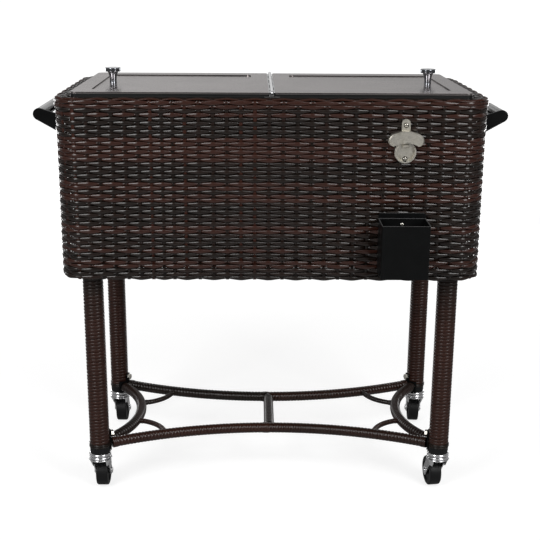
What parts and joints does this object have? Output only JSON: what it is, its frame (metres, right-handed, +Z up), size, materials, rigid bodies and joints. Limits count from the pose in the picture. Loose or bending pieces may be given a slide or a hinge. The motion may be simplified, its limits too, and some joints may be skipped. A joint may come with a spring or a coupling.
{
  "type": "rolling cooler cart",
  "caption": "Free-standing patio cooler in a woven wicker body with centre-hinged steel lids, side handles, a bottle opener, a cap catcher and wrapped legs on swivel casters.",
  "frame": {"origin": "on the floor, midway between the four caster swivel axes", "axes": "+X along the body towards the end with the bottle opener, +Y to the back, +Z up; the opener is on the -Y face"},
  "size_m": [0.95, 0.524, 0.88],
  "materials": {
    "wicker": "dark brown resin wicker",
    "stainless": "brushed stainless sheet",
    "chrome": "bright chrome plate",
    "black_paint": "satin black powder coat",
    "black_plastic": "matt black moulding",
    "wheel": "smooth black wheel",
    "tub": "light grey moulded liner",
    "foam": "rigid foam",
    "gasket": "soft black seal",
    "nickel": "worn nickel-plated casting",
    "zinc": "zinc-plated fasteners"
  },
  "bodies": {
    "cart": {"bottle_opener": "nickel", "bracket_bolts": "zinc", "cap_catcher": "black_paint", "case_floor": "black_plastic", "caster_stems": "chrome", "centre_bar": "zinc", "corner_braces": "wicker", "crossbar": "wicker", "drain_nut": "black_plastic", "drain_spout": "black_plastic", "end_arc_left": "wicker", "end_arc_right": "wicker", "foam_insulation": "foam", "foot_plugs": "black_plastic", "front_screws": "zinc", "handle_arms_left": "black_paint", "handle_arms_right": "black_paint", "handle_grip_left": "black_paint", "handle_grip_right": "black_paint", "handle_screws": "zinc", "hinge_rod": "chrome", "inner_tub": "tub", "leg_tube_front_left": "black_paint", "leg_tube_front_right": "black_paint", "leg_tube_rear_left": "black_paint", "leg_tube_rear_right": "black_paint", "leg_wrap_front_left": "wicker", "leg_wrap_front_right": "wicker", "leg_wrap_rear_left": "wicker", "leg_wrap_rear_right": "wicker", "lid_gasket": "gasket", "outer_case": "black_plastic", "saddle_brackets": "black_paint", "steel_frame": "black_paint", "stretcher_front": "wicker", "stretcher_rear": "wicker", "wicker_rim": "wicker", "wicker_shell": "wicker"},
    "caster_front_left": {"axle_front_left": "chrome", "fork_front_left": "chrome"},
    "caster_front_right": {"axle_front_right": "chrome", "fork_front_right": "chrome"},
    "caster_rear_left": {"axle_rear_left": "chrome", "fork_rear_left": "chrome"},
    "caster_rear_right": {"axle_rear_right": "chrome", "fork_rear_right": "chrome"},
    "drain_cap_body": {"drain_cap": "black_plastic"},
    "left_lid": {"hinge_leaf_left": "chrome", "knob_left": "chrome", "lid_liner_left": "black_plastic", "lid_skin_left": "stainless"},
    "right_lid": {"hinge_leaf_right": "chrome", "knob_right": "chrome", "lid_liner_right": "black_plastic", "lid_skin_right": "stainless"},
    "wheel_front_left": {"wheel_front_left": "wheel"},
    "wheel_front_right": {"wheel_front_right": "wheel"},
    "wheel_rear_left": {"wheel_rear_left": "wheel"},
    "wheel_rear_right": {"wheel_rear_right": "wheel"}
  },
  "joints": [
    {"name": "left_lid_hinge", "type": "hinge", "parent": "cart", "child": "left_lid", "pos_m": [0, 0, 0.8505], "axis": [0, 1, 0], "range_deg": [0, 84]},
    {"name": "right_lid_hinge", "type": "hinge", "parent": "cart", "child": "right_lid", "pos_m": [0, 0, 0.8505], "axis": [0, -1, 0], "range_deg": [0, 84]},
    {"name": "front_left_swivel", "type": "hinge", "parent": "cart", "child": "caster_front_left", "pos_m": [-0.359, -0.168, 0.0795], "axis": [0, 0, 1], "continuous": true},
    {"name": "front_left_wheel_spin", "type": "hinge", "parent": "caster_front_left", "child": "wheel_front_left", "pos_m": [-0.35841, -0.13401, 0.0315], "axis": [0.9998, -0.0175, 0], "continuous": true},
    {"name": "front_right_swivel", "type": "hinge", "parent": "cart", "child": "caster_front_right", "pos_m": [0.359, -0.168, 0.0795], "axis": [0, 0, 1], "continuous": true},
    {"name": "front_right_wheel_spin", "type": "hinge", "parent": "caster_front_right", "child": "wheel_front_right", "pos_m": [0.35427, -0.13433, 0.0315], "axis": [0.9903, 0.1392, 0], "continuous": true},
    {"name": "rear_left_swivel", "type": "hinge", "parent": "cart", "child": "caster_rear_left", "pos_m": [-0.359, 0.168, 0.0795], "axis": [0, 0, 1], "continuous": true},
    {"name": "rear_left_wheel_spin", "type": "hinge", "parent": "caster_rear_left", "child": "wheel_rear_left", "pos_m": [-0.35841, 0.202, 0.0315], "axis": [0.9998, -0.0175, 0], "continuous": true},
    {"name": "rear_right_swivel", "type": "hinge", "parent": "cart", "child": "caster_rear_right", "pos_m": [0.359, 0.168, 0.0795], "axis": [0, 0, 1], "continuous": true},
    {"name": "rear_right_wheel_spin", "type": "hinge", "parent": "caster_rear_right", "child": "wheel_rear_right", "pos_m": [0.36137, 0.20192, 0.0315], "axis": [0.9976, -0.0698, 0], "continuous": true},
    {"name": "drain_cap_turn", "type": "hinge", "parent": "cart", "child": "drain_cap_body", "pos_m": [0.259, 0, 0.459], "axis": [0, 0, 1], "continuous": true}
  ]
}
